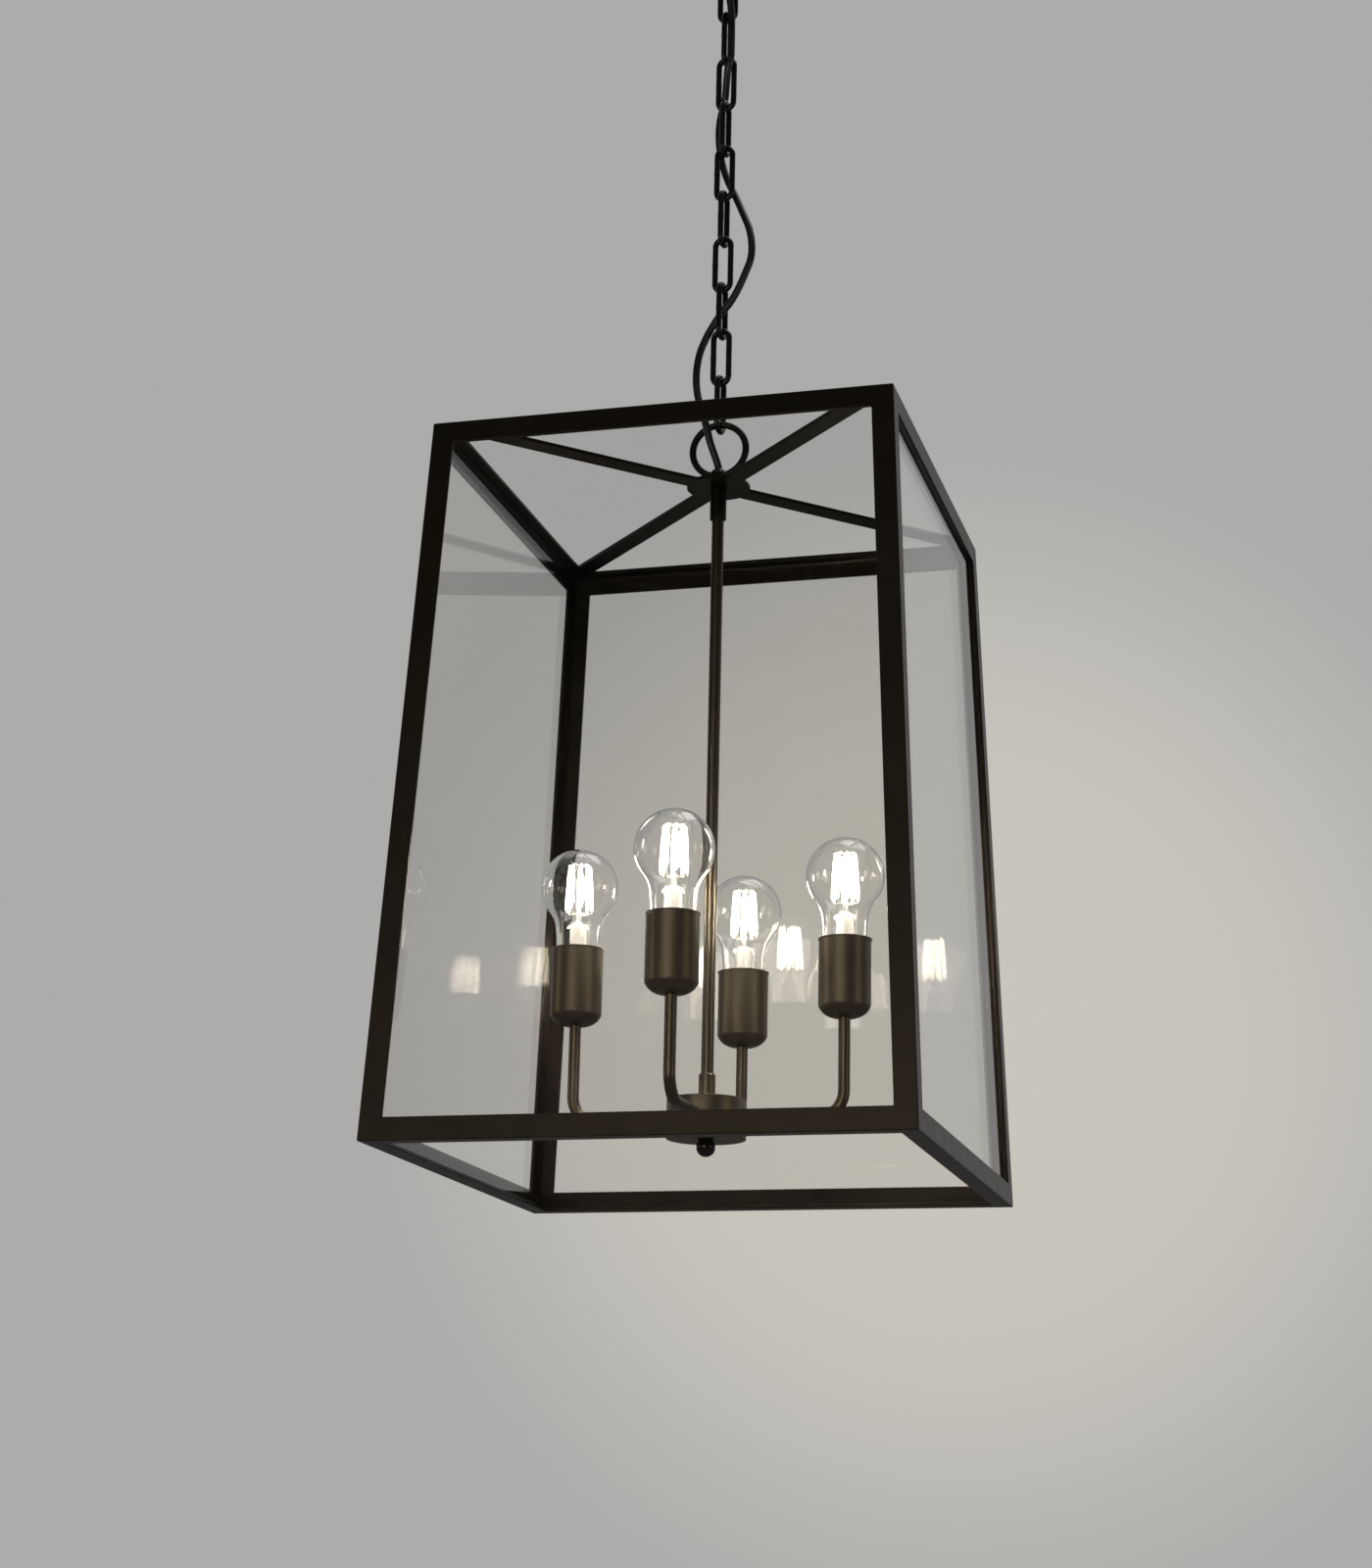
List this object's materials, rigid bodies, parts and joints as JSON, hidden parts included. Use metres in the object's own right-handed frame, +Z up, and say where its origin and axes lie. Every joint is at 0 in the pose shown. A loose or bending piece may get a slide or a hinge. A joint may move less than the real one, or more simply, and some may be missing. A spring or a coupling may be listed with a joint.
{
  "type": "pendant lantern",
  "caption": "Hanging lantern: a tapered clear-glass box in an angle-section metal frame round a cluster of upright lamps, hung by a ring, a chain with a flex cord, and a ceiling rose.",
  "frame": {"origin": "on the ceiling plane, at the centre of the top face of the ceiling rose's bracket; everything hangs below it", "axes": "+Z up; +X to the lantern's right and -Y to its front face; both are square to the frame's sides"},
  "size_m": [0.4, 0.4, 1.049],
  "materials": {
    "rose_bronze": "satin dark bronze paint",
    "zinc": "zinc-plated steel",
    "chain_black": "satin black-bronze finish",
    "grip_black": "satin black plastic",
    "terminal_white": "white plastic with brass screws",
    "flex_black": "smooth black flexible sheath",
    "frame_bronze": "satin dark bronze paint",
    "pane_glass": "clear polished flat glass",
    "satin_bronze": "satin bronze lacquer",
    "finial_black": "polished black bronze",
    "holder_white": "glazed white",
    "cap_silver": "plain aluminium",
    "bulb_glass": "clear blown glass",
    "filament": "lit filament bundle on a clear stem"
  },
  "bodies": {
    "rose": {"ceiling_rose": "rose_bronze", "rose_bracket": "zinc", "rose_loop": "chain_black", "cord_grip": "grip_black", "rose_terminal_block": "terminal_white", "flex_cord": "flex_black"},
    "link_01": {"chain_link_01": "chain_black"},
    "link_02": {"chain_link_02": "chain_black"},
    "link_03": {"chain_link_03": "chain_black"},
    "link_04": {"chain_link_04": "chain_black"},
    "link_05": {"chain_link_05": "chain_black"},
    "link_06": {"chain_link_06": "chain_black"},
    "link_07": {"chain_link_07": "chain_black"},
    "link_08": {"chain_link_08": "chain_black"},
    "link_09": {"chain_link_09": "chain_black"},
    "link_10": {"chain_link_10": "chain_black"},
    "lantern": {"suspension_ring": "chain_black", "hub_cap": "frame_bronze", "rod_collar_top": "frame_bronze", "centre_rod": "frame_bronze", "rod_collar_bottom": "frame_bronze", "top_cross": "frame_bronze", "top_frame": "frame_bronze", "bottom_frame": "frame_bronze", "post_front_left": "frame_bronze", "post_front_right": "frame_bronze", "post_back_right": "frame_bronze", "post_back_left": "frame_bronze", "glass_pane_front": "pane_glass", "glass_pane_right": "pane_glass", "glass_pane_back": "pane_glass", "glass_pane_left": "pane_glass", "cluster_body": "satin_bronze", "cluster_lid": "satin_bronze", "finial": "finial_black", "cluster_terminal_block": "terminal_white", "arm_1": "satin_bronze", "arm_2": "satin_bronze", "arm_3": "satin_bronze", "arm_4": "satin_bronze", "lamp_cup_1": "satin_bronze", "lamp_cup_2": "satin_bronze", "lamp_cup_3": "satin_bronze", "lamp_cup_4": "satin_bronze", "lampholder_1": "holder_white", "lampholder_2": "holder_white", "lampholder_3": "holder_white", "lampholder_4": "holder_white"},
    "bulb_1_cap": {"bulb_cap_1": "cap_silver"},
    "bulb_1": {"bulb_glass_1": "bulb_glass", "bulb_filament_1": "filament"},
    "bulb_2_cap": {"bulb_cap_2": "cap_silver"},
    "bulb_2": {"bulb_glass_2": "bulb_glass", "bulb_filament_2": "filament"},
    "bulb_3_cap": {"bulb_cap_3": "cap_silver"},
    "bulb_3": {"bulb_glass_3": "bulb_glass", "bulb_filament_3": "filament"},
    "bulb_4_cap": {"bulb_cap_4": "cap_silver"},
    "bulb_4": {"bulb_glass_4": "bulb_glass", "bulb_filament_4": "filament"}
  },
  "joints": [
    {"name": "chain_swing_01", "type": "hinge", "parent": "rose", "child": "link_01", "pos_m": [0, 0, -0.0395], "axis": [0.1262, 0.992, 0], "range_deg": [-30, 30], "deforming": ["flex_cord"]},
    {"name": "chain_swing_02", "type": "hinge", "parent": "link_01", "child": "link_02", "pos_m": [0, 0, -0.0806], "axis": [0.992, -0.1262, 0], "range_deg": [-10, 10]},
    {"name": "chain_swing_03", "type": "hinge", "parent": "link_02", "child": "link_03", "pos_m": [0, 0, -0.1217], "axis": [0.1262, 0.992, 0], "range_deg": [-10, 10]},
    {"name": "chain_swing_04", "type": "hinge", "parent": "link_03", "child": "link_04", "pos_m": [0, 0, -0.1628], "axis": [0.992, -0.1262, 0], "range_deg": [-10, 10]},
    {"name": "chain_swing_05", "type": "hinge", "parent": "link_04", "child": "link_05", "pos_m": [0, 0, -0.2039], "axis": [0.1262, 0.992, 0], "range_deg": [-10, 10]},
    {"name": "chain_swing_06", "type": "hinge", "parent": "link_05", "child": "link_06", "pos_m": [0, 0, -0.245], "axis": [0.992, -0.1262, 0], "range_deg": [-10, 10]},
    {"name": "chain_swing_07", "type": "hinge", "parent": "link_06", "child": "link_07", "pos_m": [0, 0, -0.2861], "axis": [0.1262, 0.992, 0], "range_deg": [-10, 10]},
    {"name": "chain_swing_08", "type": "hinge", "parent": "link_07", "child": "link_08", "pos_m": [0, 0, -0.3272], "axis": [0.992, -0.1262, 0], "range_deg": [-10, 10]},
    {"name": "chain_swing_09", "type": "hinge", "parent": "link_08", "child": "link_09", "pos_m": [0, 0, -0.3683], "axis": [0.1262, 0.992, 0], "range_deg": [-10, 10]},
    {"name": "chain_swing_10", "type": "hinge", "parent": "link_09", "child": "link_10", "pos_m": [0, 0, -0.4094], "axis": [0.992, -0.1262, 0], "range_deg": [-10, 10]},
    {"name": "lantern_swing", "type": "hinge", "parent": "link_10", "child": "lantern", "pos_m": [0, 0, -0.4505], "axis": [0.1262, 0.992, 0], "range_deg": [-10, 10]},
    {"name": "bulb_1_screw_out", "type": "slide", "parent": "lantern", "child": "bulb_1_cap", "axis": [0, 0, 1], "range_m": [0, 0.0109]},
    {"name": "bulb_1_screw_turn", "type": "hinge", "parent": "bulb_1_cap", "child": "bulb_1", "pos_m": [-0.1055, 0, -0.823], "axis": [0, 0, 1], "range_deg": [0, 1080]},
    {"name": "bulb_2_screw_out", "type": "slide", "parent": "lantern", "child": "bulb_2_cap", "axis": [0, 0, 1], "range_m": [0, 0.0109]},
    {"name": "bulb_2_screw_turn", "type": "hinge", "parent": "bulb_2_cap", "child": "bulb_2", "pos_m": [0, -0.1055, -0.823], "axis": [0, 0, 1], "range_deg": [0, 1080]},
    {"name": "bulb_3_screw_out", "type": "slide", "parent": "lantern", "child": "bulb_3_cap", "axis": [0, 0, 1], "range_m": [0, 0.0109]},
    {"name": "bulb_3_screw_turn", "type": "hinge", "parent": "bulb_3_cap", "child": "bulb_3", "pos_m": [0, 0.1055, -0.823], "axis": [0, 0, 1], "range_deg": [0, 1080]},
    {"name": "bulb_4_screw_out", "type": "slide", "parent": "lantern", "child": "bulb_4_cap", "axis": [0, 0, 1], "range_m": [0, 0.0109]},
    {"name": "bulb_4_screw_turn", "type": "hinge", "parent": "bulb_4_cap", "child": "bulb_4", "pos_m": [0.1055, 0, -0.823], "axis": [0, 0, 1], "range_deg": [0, 1080]}
  ],
  "couplings": [
    {"joint": "bulb_1_screw_out", "follows": "bulb_1_screw_turn", "m_per_rad": 0.00057757},
    {"joint": "bulb_2_screw_out", "follows": "bulb_2_screw_turn", "m_per_rad": 0.00057757},
    {"joint": "bulb_3_screw_out", "follows": "bulb_3_screw_turn", "m_per_rad": 0.00057757},
    {"joint": "bulb_4_screw_out", "follows": "bulb_4_screw_turn", "m_per_rad": 0.00057757}
  ]
}
